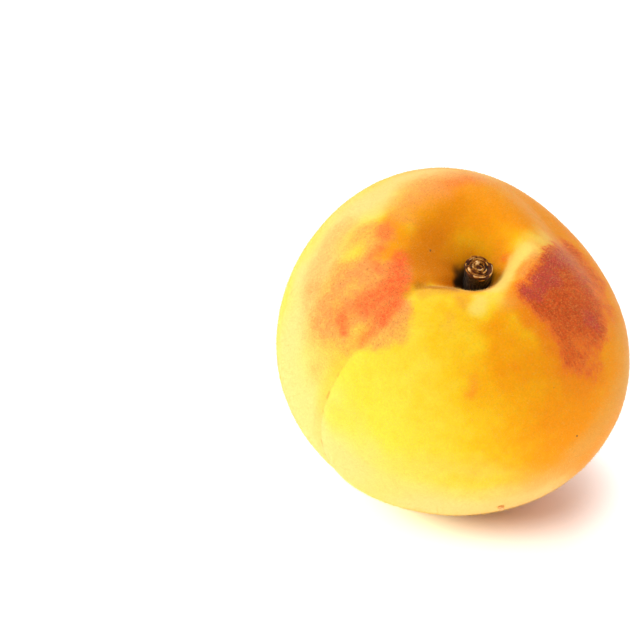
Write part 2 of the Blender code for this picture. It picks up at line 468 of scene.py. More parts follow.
# Way in which the fruit ripens, from its lemon side to its orange side, in its own frame
RIPENING = (-0.853, 0.495, 0.165)
RIPE_FROM = -22.0
RIPE_TO = 20.0

# Touches of colour on the skin, some of them painted light or shade as marked: start, end, radius,
# soft edge, strength, in millimetres
ORANGE = (
    ((-1.0, -5.0, 24.0), (-9.0, -5.0, 27.0), 9.0, 9.0, 0.75),
    ((8.4, 13.1, 30.7), (11.3, 18.4, 28.1), 1.8, 4.0, 0.30),
    ((10.8, 23.9, 25.2), (10.8, 23.9, 25.2), 2.5, 5.0, 0.5),
    ((4.8, -9.5, 27.5), (10.8, -10.4, 28.6), 3.5, 5.0, 0.95),
    ((10.8, -10.4, 28.6), (7.2, -16.8, 28.5), 3.0, 5.0, 0.9),
    ((0.7, -16.0, 28.8), (-9.1, -14.5, 29.2), 3.5, 6.0, 0.8),
    ((11.6, -7.4, 28.6), (20.0, -3.0, 28.0), 2.4, 3.0, 0.85),
    ((14.0, -3.6, 28.6), (5.0, -3.0, 24.5), 2.6, 2.6, 0.9),
    ((0.0, 4.0, -35.0), (0.0, 0.0, -33.0), 7.0, 14.0, 0.8),
)
LEMON = (
    ((4.6, 8.4, 30.8), (9.0, 10.2, 31.0), 2.5, 3.5, 0.8),
    ((-9.0, 2.0, 29.0), (-13.0, 2.0, 28.6), 1.8, 5.0, 0.6),
    ((-6.3, -1.7, 25.3), (-3.2, -7.0, 26.0), 1.5, 5.0, 0.35),
    ((-8.7, -3.4, 27.8), (-11.0, -1.0, 28.9), 1.6, 4.0, 0.25),
    ((5.6, 15.0, 30.4), (4.4, 20.0, 28.6), 1.2, 4.0, 0.4),
    ((16.0, 9.0, 29.6), (14.8, 14.0, 28.7), 2.4, 5.0, 0.3),
    ((21.5, 30.3, 6.9), (27.1, 22.8, 0.0), 5.0, 14.0, 0.4),
    ((28.0, 16.8, 18.6), (30.5, 21.3, 6.9), 4.0, 10.0, 0.5),
)
# Pale band along the crest of the cavity's rim: partly the skin's own paler colour, partly a
# painted highlight
CREST_PALE_AND_HIGHLIGHT = (
    ((-17.5, 2.6, 27.0), (-9.0, 4.6, 30.6), 2.0, 4.2, 0.6),
    ((-9.0, 4.6, 30.6), (-5.7, 4.6, 29.1), 2.2, 3.6, 0.75),
    ((-5.7, 4.6, 29.1), (-2.6, 5.7, 27.7), 2.3, 3.0, 0.9),
    ((-1.6, 6.0, 29.0), (2.6, 7.4, 30.1), 2.3, 3.0, 0.95),
    ((7.6, 8.2, 30.9), (10.0, 9.6, 31.0), 1.4, 2.6, 0.7),
)
# Pale cream near the outline on the left, top and bottom, and along the crest: painted sheen of the
# fuzz
PAINTED_RIM_SHEEN = (
    ((33.0, -15.0, 10.1), (37.1, -6.4, 2.6), 8.5, 10.0, 0.65),
    ((37.1, -6.4, 2.6), (36.8, 6.0, -2.0), 8.0, 10.0, 0.7),
    ((36.0, 10.5, -2.6), (24.8, 26.3, -6.9), 9.0, 12.0, 0.65),
    ((24.8, 26.3, -6.9), (9.0, 36.5, -4.0), 8.0, 10.0, 0.8),
    ((29.0, -13.0, 19.0), (33.5, -5.0, 15.0), 2.5, 7.0, 0.35),
    ((35.8, 1.5, 13.5), (34.5, 12.0, 9.0), 2.5, 7.0, 0.35),
    ((34.0, 15.0, 8.0), (23.5, 28.0, 9.2), 2.5, 7.0, 0.25),
    ((20.0, 31.0, 8.6), (12.0, 35.0, 6.0), 2.0, 7.0, 0.2),
    ((4.5, 11.0, 31.4), (1.0, 13.6, 31.2), 1.6, 4.0, 0.25),
    ((33.0, -15.0, 10.1), (24.8, -20.3, 18.3), 6.0, 9.0, 0.8),
    ((22.0, -24.0, 17.5), (6.7, -26.9, 23.3), 5.5, 9.0, 0.85),
    ((6.7, -26.9, 23.3), (-9.7, -25.0, 24.5), 5.0, 9.0, 0.9),
    ((-9.7, -25.0, 24.5), (-22.0, -20.0, 21.5), 2.5, 11.0, 0.55),
)
# Darker ochre on the cavity's left wall: painted shade
CAVITY_PAINTED_SHADE = (
    ((-5.8, -12.9, 28.9), (2.7, -10.8, 27.2), 3.4, 5.0, 0.7),
    ((2.7, -10.8, 27.2), (9.3, -6.6, 27.7), 2.6, 4.0, 0.65),
    ((9.3, -6.6, 27.7), (4.0, -3.0, 24.0), 3.4, 4.0, 0.9),
    ((9.3, -6.6, 27.7), (14.0, -3.4, 28.8), 2.2, 3.0, 0.8),
)
# Duller, darker gold along the fruit's right side: painted shade
SIDE_PAINTED_SHADE = (
    ((-19.6, 24.8, 18.1), (-16.5, 32.2, 11.7), 3.5, 8.0, 0.55),
    ((-16.5, 32.2, 11.7), (1.1, 37.7, 8.5), 3.5, 8.0, 0.65),
    ((1.1, 37.7, 8.5), (10.0, 37.0, 2.0), 3.0, 8.0, 0.5),
)
# Orange-brown line along the cavity's near lip: partly a brown fold line, partly painted shade
# under the lip
LIP_LINE_AND_SHADE = (
    ((15.4, 0.4, 29.6), (9.0, 3.2, 28.9), 1.2, 2.4, 0.75),
    ((10.0, 5.3, 30.2), (11.8, 7.5, 30.8), 1.0, 2.2, 0.55),
    ((7.0, 4.6, 28.8), (1.6, 6.2, 27.8), 0.7, 1.8, 0.5),
)
# Dark brown band in the crease of the lip beside the suture: painted shade
LIP_CREASE_SHADE = (
    ((18.0, -1.6, 28.9), (14.6, -1.0, 29.1), 0.4, 1.8, 0.55),
    ((14.3, -1.2, 28.9), (12.2, -0.2, 28.8), 1.0, 1.6, 0.85),
    ((12.2, -0.2, 28.8), (8.9, 1.6, 28.0), 1.5, 1.6, 0.95),
)
BLUSH = (
    ((20.1, -0.5, 28.4), (23.6, 3.6, 27.0), 2.0, 3.0, 0.75),
    ((13.0, -17.5, 27.4), (21.0, -14.5, 25.0), 4.2, 3.0, 0.75),
    ((14.0, -24.0, 22.0), (24.0, -19.0, 19.0), 4.0, 4.5, 0.45),
    ((22.0, -10.5, 25.8), (28.0, -9.0, 21.5), 6.0, 3.6, 0.9),
    ((17.0, -7.0, 28.6), (24.0, -3.0, 26.4), 3.8, 2.6, 0.95),
    ((26.5, -16.0, 19.0), (31.0, -10.0, 17.0), 3.6, 5.0, 0.45),
    ((3.0, -19.6, 28.0), (-6.0, -18.4, 28.6), 2.4, 5.0, 0.7),
    ((6.4, -18.4, 28.1), (4.6, -15.6, 28.5), 1.4, 4.0, 0.5),
    ((21.0, 0.5, 27.8), (26.0, 1.6, 25.0), 2.4, 2.4, 0.65),
    ((26.0, 1.0, 24.6), (30.0, -3.0, 21.0), 2.0, 2.4, 0.6),
    ((-4.0, -21.5, 27.0), (-17.0, -18.5, 25.0), 3.2, 7.0, 0.8),
    ((-3.0, 8.8, 31.6), (-8.4, 7.4, 31.0), 1.4, 2.4, 0.6),
    ((16.4, 8.8, 29.6), (15.4, 8.2, 29.8), 1.2, 2.4, 0.2),
    ((31.0, -3.0, 20.1), (34.5, -5.0, 13.0), 2.0, 5.0, 0.4),
)
EMBER = (
    ((16.2, -12.6, 28.0), (17.4, -10.0, 28.3), 1.4, 2.8, 0.6),
    ((12.8, -9.0, 28.8), (17.6, -4.6, 28.9), 2.0, 3.2, 1.0),
    ((17.4, -4.8, 28.8), (23.4, -5.4, 26.4), 2.6, 4.0, 0.9),
    ((23.4, -5.4, 26.4), (27.6, -8.4, 23.0), 2.4, 5.0, 0.55),
    ((20.2, -1.2, 27.8), (24.0, -0.9, 26.2), 1.4, 1.8, 0.95),
    ((24.0, -0.9, 26.2), (28.6, -0.9, 22.8), 1.3, 2.2, 0.75),
    ((28.0, -7.6, 22.4), (29.2, -5.2, 21.7), 1.0, 1.8, 0.9),
    ((9.6, -16.4, 28.3), (11.2, -15.8, 28.3), 1.6, 2.8, 0.75),
    ((14.1, -13.2, 28.3), (14.1, -13.2, 28.3), 1.2, 2.4, 0.6),
    ((-9.0, -18.5, 28.2), (-14.0, -17.2, 26.8), 1.8, 4.0, 0.5),
    # Next row: the red-orange spot in the cleft right of the stub, partly blush, partly painted
    # shade of that cleft
    ((-5.4, 0.6, 25.6), (-6.6, 1.6, 26.6), 0.8, 2.2, 0.6),
    ((18.0, 19.2, 24.9), (20.2, 20.6, 23.2), 1.0, 2.2, 0.35),
)
CHEEK = (
    ((-5.6, 12.6, 31.2), (-12.0, 10.4, 30.2), 3.1, 3.4, 1.0),
    ((-0.9, 12.2, 31.4), (-2.2, 14.4, 31.1), 2.2, 3.4, 0.95),
    ((-3.2, 16.5, 30.2), (-8.0, 20.0, 28.0), 3.8, 4.8, 1.0),
    ((-10.5, 14.0, 29.2), (-14.5, 17.0, 26.4), 5.2, 5.0, 1.0),
    ((-8.0, 19.5, 28.0), (-11.5, 23.0, 24.6), 4.6, 5.0, 0.9),
    ((-2.2, 21.0, 28.0), (-1.4, 26.5, 25.0), 2.8, 5.0, 0.75),
    ((-6.0, 26.0, 24.6), (-5.6, 29.0, 22.4), 2.8, 6.0, 0.6),
    ((-13.0, 8.8, 29.4), (-19.5, 8.0, 25.0), 2.9, 3.2, 0.95),
    ((-19.5, 7.6, 25.0), (-25.5, 5.2, 19.5), 3.4, 6.0, 0.8),
    ((-16.0, 12.0, 26.8), (-23.5, 12.0, 19.8), 4.2, 9.0, 0.80),
    ((-16.5, 18.0, 24.6), (-20.0, 20.0, 21.0), 3.2, 10.0, 0.60),
)
WINE = (
    ((-8.0, 9.0, 31.3), (-13.0, 9.4, 29.6), 1.8, 4.4, 0.8),
    ((-13.0, 8.6, 29.4), (-18.0, 9.0, 26.0), 1.8, 4.0, 0.85),
    ((-17.0, 12.6, 26.0), (-21.0, 13.4, 21.8), 2.4, 5.0, 0.5),
    ((-5.0, 11.6, 31.2), (-8.5, 12.4, 30.6), 2.4, 4.4, 0.9),
    ((-0.8, 12.8, 31.3), (-2.6, 14.2, 31.0), 1.6, 3.0, 0.9),
    ((-10.6, 21.6, 25.6), (-12.4, 22.8, 24.4), 1.8, 4.6, 0.8),
)
GLOW = (
    ((-0.5, 12.5, 31.2), (0.4, 19.5, 29.2), 3.0, 4.0, 0.95),
    ((0.6, 19.5, 29.2), (0.5, 27.0, 24.8), 3.4, 5.0, 0.85),
    ((-6.0, 25.0, 25.5), (-4.0, 31.0, 21.0), 4.5, 7.0, 0.7),
    ((-12.0, 17.0, 27.4), (-17.0, 18.0, 23.4), 7.0, 6.0, 0.8),
)
FAR_BLUSH = (
    ((-33.0, 2.0, 6.0), (-27.0, -22.0, -2.0), 9.0, 16.0, 0.9),
    ((-27.0, -22.0, -2.0), (-6.0, -34.0, -10.0), 6.0, 16.0, 0.6),
    ((-26.0, 22.0, 8.0), (-20.0, 28.0, -8.0), 5.0, 14.0, 0.5),
)
YELLOW_WINDOW = ((18.3, -17.6, 25.1), (17.0, -16.6, 26.2), 1.8, 3.0)
# Near-black ring round the stub's foot in the pit: painted shadow
PIT_PAINTED_SHADOW = (
    ((2.6, -1.8, 21.6), (0.4, -1.4, 21.6), 1.6, 2.2, 1.0),
    ((1.4, -2.8, 22.6), (-0.6, -2.6, 22.4), 1.0, 3.4, 0.75),
    ((-1.2, 0.7, 18.0), (-1.2, 0.7, 22.0), 3.5, 2.2, 0.85),
    ((-1.2, 0.7, 18.0), (-1.2, 0.7, 22.4), 4.2, 3.6, 0.4),
)


def skin_marks(place):
    """The patterns that the skin's colours share, each on its own scale."""
    around = place.vector("MULTIPLY", (1.0, 1.0, 0.0)).vector("NORMALIZE").scaled(37.0)
    streaked = around.vector("ADD", place.vector("MULTIPLY", (0.35, 0.35, 0.45)))
    return SimpleNamespace(
        place=place,
        soft=place.shifted(11.0, 8.0),
        cloudy=place.shifted(3.2, 2.4),
        ragged=place.shifted(3.4, 2.2).shifted(0.9, 1.4),
        streaked=streaked,
        cloud=place.grain(8.0, detail=3.0),
        mottle=place.grain(2.4, detail=3.0, roughness=0.6),
        fine=place.grain(0.8, detail=3.0, roughness=0.65),
        fleck=place.grain(0.50, detail=2.0, roughness=0.7),
        grit=place.grain(0.36, detail=2.0, roughness=0.8),
        speck=place.grain(0.25, detail=1.0),
        streak=streaked.grain(2.2, detail=3.0, roughness=0.6))


def ripe_tint(marks):
    """Lemon on one side of the fruit, through gold to orange on the other, with painted sheen near
    the outline, painted shade on the right side and in the cavity, and a pale crest that is partly
    a painted highlight.
    """
    ripe = marks.soft.vector("DOT_PRODUCT", RIPENING, output=1).step(RIPE_FROM, RIPE_TO)
    ripe = 1.0 - (1.0 - ripe) * (1.0 - touches(marks.soft, ORANGE))
    ripe = ripe * (1.0 - touches(marks.cloudy, LEMON))
    ripe = ripe + (marks.cloud - 0.5) * 0.5 + (marks.mottle - 0.5) * 0.4 + (marks.fine - 0.5) * 0.30
    tint = ripe.ramp((0.0, colour(0.95, 0.70, 0.050)), (0.35, colour(0.95, 0.57, 0.012)),
                     (0.70, colour(0.94, 0.40, 0.003)), (1.0, colour(0.91, 0.30, 0.002)))
    # Painted sheen: pale cream near the outline
    tint = touches(marks.soft, PAINTED_RIM_SHEEN).blend(tint, colour(0.95, 0.65, 0.210))
    # Painted shade on the fruit's right side
    tint = touches(marks.soft, SIDE_PAINTED_SHADE).blend(tint, colour(0.78, 0.36, 0.055))
    # Painted shade in the cavity
    tint = touches(marks.cloudy, CAVITY_PAINTED_SHADE).blend(tint, colour(0.78, 0.225, 0.001))
    # Pale crest band: partly the skin's own colour, partly a painted highlight
    return touches(marks.cloudy, CREST_PALE_AND_HIGHLIGHT).blend(tint, colour(0.95, 0.68, 0.150))


def blush_over(marks, tint):
    """The speckled blush, its glowing streaks, and how strong it is."""
    far = touches(marks.soft, FAR_BLUSH)
    wash = touches(marks.ragged, BLUSH) * (1.0 - touch(marks.ragged, *YELLOW_WINDOW) * 0.7)
    wash = wash.most(far * marks.streak.step(0.30, 0.62))
    worn = wash * (0.78 + marks.mottle.step(0.35, 0.60) * 0.22)
    tint = worn.blend(tint, colour(0.93, 0.31, 0.075))
    ember = touches(marks.cloudy, EMBER).most(far * marks.streak.step(0.50, 0.72) * 0.7)
    worn = ember * (0.60 + marks.fine.step(0.35, 0.60) * 0.40)
    tint = worn.blend(tint, colour(0.94, 0.128, 0.028))
    flecks = marks.fleck.step(0.50, 0.64) * wash * 0.42
    return flecks.blend(tint, colour(0.60, 0.19, 0.045)), wash


def cheek_over(marks, tint):
    """The dark red cheek beside the stem, fading through orange-red, and how strong it is."""
    glow = (touches(marks.soft, GLOW) * (0.55 + marks.mottle * 0.5)).sum("MINIMUM", 1.0)
    tint = glow.blend(tint, colour(0.87, 0.215, 0.007))
    strength = touches(marks.ragged, CHEEK)
    uneven = (marks.fine - 0.5) * 1.1 + (marks.streak - 0.5) * 0.7 + (marks.mottle - 0.5) * 0.7
    strength = strength + uneven * strength.step(0.0, 0.3)
    edges = marks.streaked.shifted(1.2, 0.9).cells(2.6, feature="DISTANCE_TO_EDGE")
    crack = edges.step(0.015, 0.07, 1.0, 0.0) * marks.fine.step(0.48, 0.58)
    strength = strength - crack * 0.35
    tint = strength.step(0.10, 0.60).blend(tint, colour(0.84, 0.170, 0.020))
    rust = strength.step(0.40, 1.05)
    tint = rust.blend(tint, colour(0.60, 0.084, 0.014))
    wine = (touches(marks.ragged, WINE) + (marks.fine - 0.5) * 0.9).step(0.1, 0.9) * rust
    return wine.blend(tint, colour(0.54, 0.066, 0.040)), rust


def suture_over(marks, tint):
    """A thin broken brown line in the suture, below the blush, and a more orange bank on one side
    of it.
    """
    x, y, z = (marks.place.axis(number) for number in range(3))
    length = marks.place.vector("LENGTH", output=1)
    drop = 1.0 - z.sum("DIVIDE", length)
    path = drop * drop * GROOVE_SWEEP + GROOVE_START
    across = (y.sum("ARCTAN2", x) - path) * x
    front = x.step(24.0, 31.0)
    low = z.add("CombineXYZ", {}, {2: z})
    dashes = low.grain(3.4, detail=1.0).step(0.50, 0.62)
    line = across.sum("ABSOLUTE").step(0.05, 0.45, 1.0, 0.0) * front * (0.20 + dashes * 0.80)
    bank = across.step(-4.0, -0.4) * across.step(-0.4, 0.4, 1.0, 0.0) * front * z.step(-8.0, 6.0)
    tint = (bank * 0.35).blend(tint, colour(0.90, 0.46, 0.04))
    return (line * 0.6).blend(tint, colour(0.55, 0.24, 0.03))


def skin_finish():
    """Velvety skin: lemon to orange, with a speckled blush and a dark red cheek, and painted shade
    along the lip and round the stub.
    """
    material, wire, shader = new_finish(
        "peach_skin", Roughness=0.6, Sheen_Weight=0.36, Sheen_Roughness=0.22,
        Sheen_Tint=colour(1.0, 0.93, 0.78), Specular_IOR_Level=0.06)
    marks = skin_marks(own_place(wire))
    tint, wash = blush_over(marks, ripe_tint(marks))
    tint, cheek = cheek_over(marks, tint)
    tint = suture_over(marks, tint)
    # Brown line along the lip, partly painted shade
    tint = touches(marks.cloudy, LIP_LINE_AND_SHADE).blend(tint, colour(0.82, 0.37, 0.030))
    # Painted shade in the lip's crease
    tint = touches(marks.cloudy, LIP_CREASE_SHADE).blend(tint, colour(0.58, 0.21, 0.007))
    # Painted shadow in the pit round the stub
    tint = touches(marks.cloudy, PIT_PAINTED_SHADOW).blend(tint, colour(0.035, 0.018, 0.006))
    pores = marks.ragged.cells(0.62).step(0.10, 0.26, 1.0, 0.0) * marks.speck.step(0.45, 0.6)
    shade = 1.0 - pores * (0.10 + wash.most(cheek * 0.6) * 0.25)
    shade = shade + (marks.fine - 0.5) * (0.18 + cheek * 0.6)
    shade = shade + (marks.grit - 0.5) * (0.42 + wash * 0.9 + cheek * 1.2)
    connect(tint.times(shade), shader, "Base Color")
    connect(0.5 + marks.mottle * 0.2, shader, "Roughness")
    relief = marks.speck * 0.5 + marks.fine * 0.5
    bump = wire.add("Bump", {}, {"Strength": 0.3, "Distance": 0.0002, "Height": relief})
    connect(bump, shader, "Normal")
    return material


def fuzz_finish():
    """Fine pale hairs, a little golden."""
    material, wire, shader = new_finish("peach_fuzz", Roughness=0.6, Specular_IOR_Level=0.2)
    lock = own_place(wire).grain(1.6, detail=3.0)
    tint = lock.step(0.3, 0.7).blend(colour(0.96, 0.58, 0.12), colour(0.97, 0.72, 0.24))
    connect(tint, shader, "Base Color")
    return material


def bark_finish():
    """Dry dark bark of the stub, a little green in places."""
    material, wire, shader = new_finish("stem_bark", Roughness=0.8, Specular_IOR_Level=0.3)
    place = own_place(wire)
    streak = place.vector("MULTIPLY", (1.0, 1.0, 0.12)).grain(0.30, detail=3.0)
    moss = place.grain(1.1, detail=2.0).step(0.45, 0.65)
    tint = streak.step(0.40, 0.68).blend(colour(0.010, 0.007, 0.007), colour(0.095, 0.070, 0.050))
    tint = (moss * 0.5).blend(tint, colour(0.045, 0.050, 0.026))
    broken = place.axis(2).step(BROKEN_FROM, BROKEN_TO)
    tint = broken.blend(tint, colour(0.090, 0.020, 0.003))
    connect(tint, shader, "Base Color")
    bump = wire.add("Bump", {}, {"Strength": 0.8, "Distance": 0.0003, "Height": streak})
    connect(bump, shader, "Normal")
    return material


def fibre_finish(name, dark, middle, pale):
    """Dry wood of the broken end, in three shades."""
    material, wire, shader = new_finish(name, Roughness=0.6, Specular_IOR_Level=0.12)
    place = own_place(wire)
    dry = place.grain(0.9, detail=3.0)
    tint = dry.ramp((0.36, colour(*dark)), (0.50, colour(*middle)), (0.62, colour(*pale)))
    connect(tint, shader, "Base Color")
    line = place.grain(0.12, detail=2.0)
    bump = wire.add("Bump", {}, {"Strength": 0.5, "Distance": 0.0001, "Height": line})
    connect(bump, shader, "Normal")
    return material


def speck_finish():
    """Dry brown of the small scars on the skin."""
    material, wire, shader = new_finish("skin_speck", Roughness=0.7, Specular_IOR_Level=0.2)
    patch = own_place(wire).grain(1.2, detail=3.0)
    tint = patch.step(0.35, 0.65).blend(colour(0.26, 0.090, 0.012), colour(0.46, 0.200, 0.035))
    bump = touch(own_place(wire), BUMP_PLACE, BUMP_PLACE, BUMP_REACH, BUMP_SOFT)
    connect(bump.blend(tint, colour(0.94, 0.48, 0.17)), shader, "Base Color")
    return material


def floor_finish():
    """Pale paper that glows away from the fruit: painted light that leaves only a tight shadow
    under it.
    """
    material, wire, shader = new_finish("pale_floor_painted_glow", Roughness=0.7, Emission_Strength=0.55)
    place = wire.add("TexCoord", output=3)
    fleck = place.grain(0.004, detail=2.0)
    connect(fleck.blend(colour(0.90, 0.90, 0.90), colour(0.93, 0.93, 0.93)), shader, "Base Color")
    # Painted light: the paper glows more the farther it is from the fruit
    away = place.vector("DISTANCE", PAINTED_LIGHT_MIDDLE, output=1).step(PAINTED_LIGHT_FROM, PAINTED_LIGHT_TO)
    connect(away.blend(colour(0.0, 0.0, 0.0), colour(1.0, 1.0, 1.0)), shader, "Emission Color")
    return material


def finished(name, bm, material, slot=None):
    """Turns a bmesh into a piece in place."""
    mesh = bpy.data.meshes.new(name)
    bm.to_mesh(mesh)
    bm.free()
    mesh.shade_smooth()
    mesh.materials.append(material)
    piece = bpy.data.objects.new(name, mesh)
    bpy.context.scene.collection.objects.link(piece)
    if slot:
        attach(piece, "root")
    return piece


def make_skin():
    """The whole skin of the fruit, cut flat where it rests."""
    bm = bmesh.new()
    bmesh.ops.create_uvsphere(bm, u_segments=SKIN_COLUMNS, v_segments=SKIN_ROWS, radius=1.0)
    for vert in bm.verts:
        polar = math.acos(max(-1.0, min(1.0, vert.co.z)))
        turn = math.atan2(vert.co.y, vert.co.x)
        polar -= ROW_CROWDING * math.sin(polar)
        turn -= COLUMN_CROWDING * math.sin(turn)
        point = skin_point(polar, turn)
        swell = noise.noise(point / SWELL_SIZE)
        swell += 0.5 * noise.noise(point / SWELL_SIZE * SWELL_FINER)
        vert.co = LIE @ (point + point.normalized() * swell * SWELL_HEIGHT)
    everything = bm.verts[:] + bm.edges[:] + bm.faces[:]
    cut = bmesh.ops.bisect_plane(bm, geom=everything, plane_co=(0, 0, 0), plane_no=(0, 0, 1),
                                 clear_inner=True)
    rim = [item for item in cut["geom_cut"] if isinstance(item, bmesh.types.BMEdge)]
    bmesh.ops.holes_fill(bm, edges=rim, sides=0)
    bmesh.ops.recalc_face_normals(bm, faces=bm.faces)
    skin = finished("peach_skin", bm, skin_finish(), "skin")
    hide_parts("fruit")
    return skin


def field_of_hairs():
    """Upright hairs on a square grid."""
    bm = bmesh.new()
    bmesh.ops.create_cone(bm, cap_ends=True, segments=3, radius1=1.0, radius2=0.0, depth=1.0)
    for doubling in range(FUZZ_DOUBLINGS):
        twins = bmesh.ops.duplicate(bm, geom=bm.verts[:] + bm.edges[:] + bm.faces[:])
        new = [item for item in twins["geom"] if isinstance(item, bmesh.types.BMVert)]
        stride = HAIR_SPACING * 2 ** (doubling // 2)
        bmesh.ops.translate(bm, verts=new, vec=(stride, 0, 0) if doubling % 2 else (0, stride, 0))
    return bm


def unit(rows):
    """Each row made one long."""
    return rows / np.linalg.norm(rows, axis=1, keepdims=True)


def read(items, name, width, kind=np.float64):
    """A property of all items, as rows."""
    values = np.empty(len(items) * width, dtype=kind)
    items.foreach_get(name, values)
    return values.reshape(-1, width)


def scattered(skin, count, draw):
    """Random places all over a mesh, even by area, with the way out of it there."""
    mesh = skin.data
    mesh.calc_loop_triangles()
    places = read(mesh.vertices, "co", 3)
    outwards = read(mesh.vertices, "normal", 3)
    corners = read(mesh.loop_triangles, "vertices", 3, np.int32)
    first, second, third = (places[corners[:, k]] for k in range(3))
    area = np.linalg.norm(np.cross(second - first, third - first), axis=1)
    chosen = draw.choice(len(corners), size=count, p=area / area.sum())
    along = np.sqrt(draw.random(count))
    across = draw.random(count)
    shares = np.stack((1 - along, along * (1 - across), along * across), axis=1)[:, :, None]
    corners = corners[chosen]
    return (places[corners] * shares).sum(axis=1), unit((outwards[corners] * shares).sum(axis=1))


def make_fuzz(skin, number, material, draw):
    """One piece of the fuzz: fine hairs that stand out of the skin and lean a little to the tip."""
    bm = field_of_hairs()
    fuzz = finished("peach_fuzz_%d" % number, bm, material, "skin")
    mesh = fuzz.data
    points = read(mesh.vertices, "co", 3)
    columns = 2 ** (FUZZ_DOUBLINGS // 2)
    cell = np.rint(points[:, :2] / HAIR_SPACING).astype(int)
    local = points - np.column_stack((cell * HAIR_SPACING, np.zeros(len(cell))))
    hair = cell[:, 0] + cell[:, 1] * columns
    count = 2 ** FUZZ_DOUBLINGS
    roots, outwards = scattered(skin, count, draw)
    stem_way = np.array(LIE.to_3x3() @ Vector((0, 0, 1)))
    to_tip = -(stem_way - outwards * (outwards @ stem_way)[:, None])
    lean = outwards + to_tip * HAIR_COMB + draw.normal(size=(count, 3)) * HAIR_SPREAD
    lean = unit(lean)
    length = draw.uniform(*HAIR_LENGTH, size=count)
    own = (roots - np.array(MIDDLE)) @ np.array(LIE.to_3x3())
    deep = (np.hypot(own[:, 0], own[:, 1]) < PIT_WIDTH) & (own[:, 2] > 0)
    low = deep | ((roots + lean * length[:, None])[:, 2] < HAIR_RADIUS + FLOOR_CLEARANCE)
    lean[low] = outwards[low]
    length[low] = 2 * HAIR_SUNK
    roots = roots - outwards * HAIR_SUNK
    roots[low] -= outwards[low] * 2 * HAIR_SUNK
    aside = unit(np.cross(lean, draw.normal(size=(count, 3))))
    beside = np.cross(lean, aside)
    placed = roots[hair] + (aside[hair] * local[:, :1] + beside[hair] * local[:, 1:2]) * HAIR_RADIUS
    placed += lean[hair] * (length[hair, None] + HAIR_SUNK) * (local[:, 2:] + 0.5)
    mesh.vertices.foreach_set("co", placed.ravel())
    polar = np.arccos(own[:, 2] / np.linalg.norm(own, axis=1))
    spot = np.stack((np.arctan2(own[:, 1], own[:, 0]) / math.tau + 0.5, polar / math.pi), axis=1)
    loops = read(mesh.loops, "vertex_index", 1, np.int32)[:, 0]
    spread = spot[hair] * (1 - 2 * SHEET_MARGIN) + SHEET_MARGIN + local[:, :2] * SHEET_HAIR
    sheet = mesh.uv_layers.new(name="OFBake")
    sheet.data.foreach_set("uv", spread[loops].ravel())
    mesh.update()


def stem_radius(share):
    """Radius of the stub at a share of its length, from the foot to the broken end."""
    plain = STEM_FOOT_RADIUS + (STEM_END_RADIUS - STEM_FOOT_RADIUS) * share
    return plain + (STEM_WAIST_RADIUS - plain) * bell(share - STEM_WAIST_SHARE, STEM_WAIST_SPREAD)


def stem_point(share, spread, turn):
    """Point of the stub from its share of the length, its share of the radius and its turn."""
    foot = STEM_FLOOR - STEM_SUNK
    length = STEM_FLOOR + STEM_LENGTH - foot
    radius = stem_radius(share) * spread * (1 + share * waves(RIBS, turn))
    rise = foot + length * share
    if share > END_FROM:
        rise += spread * waves(RAGS, turn)
        rise -= END_HOLLOW_DEPTH * bell(spread - END_HOLLOW_PLACE, END_HOLLOW_SPREAD)
    lean = STEM_LEAN * share ** 2
    point = stem_foot() + Vector((radius * math.cos(turn), radius * math.sin(turn), rise))
    return point + Vector((math.cos(STEM_LEAN_TURN), math.sin(STEM_LEAN_TURN), 0)) * lean


def make_stem():
    """The stub, from just below the skin to its broken end."""
    bm = bmesh.new()
    bmesh.ops.create_cone(bm, cap_ends=True, segments=STEM_SIDES, radius1=1.0, radius2=1.0,
                          depth=1.0)
    upright = [edge for edge in bm.edges if abs(edge.verts[0].co.z - edge.verts[1].co.z) > 0.5]
    bmesh.ops.subdivide_edges(bm, edges=upright, cuts=STEM_RINGS - 2)
    bm.normal_update()
    end = [face for face in bm.faces if face.normal.z > 0.9]
    for _ in range(END_STEPS):
        bmesh.ops.inset_region(bm, faces=end, thickness=END_STEP)
    for vert in bm.verts:
        spread = math.hypot(vert.co.x, vert.co.y)
        turn = math.atan2(vert.co.y, vert.co.x)
        vert.co = LIE @ stem_point(vert.co.z + 0.5, spread, turn)
    bmesh.ops.recalc_face_normals(bm, faces=bm.faces)
    stem = finished("stem_stub", bm, bark_finish(), "stem")
    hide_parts("stem")


def curled_fibre(bm, middle, curl, thickness, sweep, rise, turned):
    """One fibre that curls round the middle of the broken end, thinner at its far end."""
    older = set(bm.verts)
    ring = bmesh.ops.create_circle(bm, cap_ends=False, segments=FIBRE_SIDES, radius=1.0)["verts"]
    for vert in ring:
        vert.co = Vector((curl + vert.co.x * thickness, 0, vert.co.y * thickness))
    rim = [edge for edge in bm.edges if edge.verts[0] not in older]
    spun = bmesh.ops.spin(bm, geom=ring + rim, cent=(0, 0, 0), axis=(0, 0, 1), angle=sweep,
                          dvec=(0, 0, rise / FIBRE_STEPS), steps=FIBRE_STEPS)
    last = [item for item in spun["geom_last"] if isinstance(item, bmesh.types.BMEdge)]
    bmesh.ops.holes_fill(bm, edges=rim, sides=0)
    bmesh.ops.holes_fill(bm, edges=last, sides=0)
    for vert in bm.verts:
        if vert in older:
            continue
        share = (math.atan2(vert.co.y, vert.co.x) % math.tau) / sweep
        share = min(share, 1.0) if share < 1.2 else 0.0
        turn = share * sweep
        line = Vector((curl * math.cos(turn), curl * math.sin(turn), rise * share))
        vert.co = line + (vert.co - line) * (1 - FIBRE_TAPER * share ** 2)
        vert.co = middle + turned @ vert.co


def end_place(curl, lift):
    """Middle of the broken end, lower for what curls far out from it."""
    sag = FIBRE_DOME * (curl / FIBRE_CURL[1]) ** 2
    return stem_point(ROSETTE_SHARE, 0.0, 0.0) + Vector((0, 0, lift - sag))


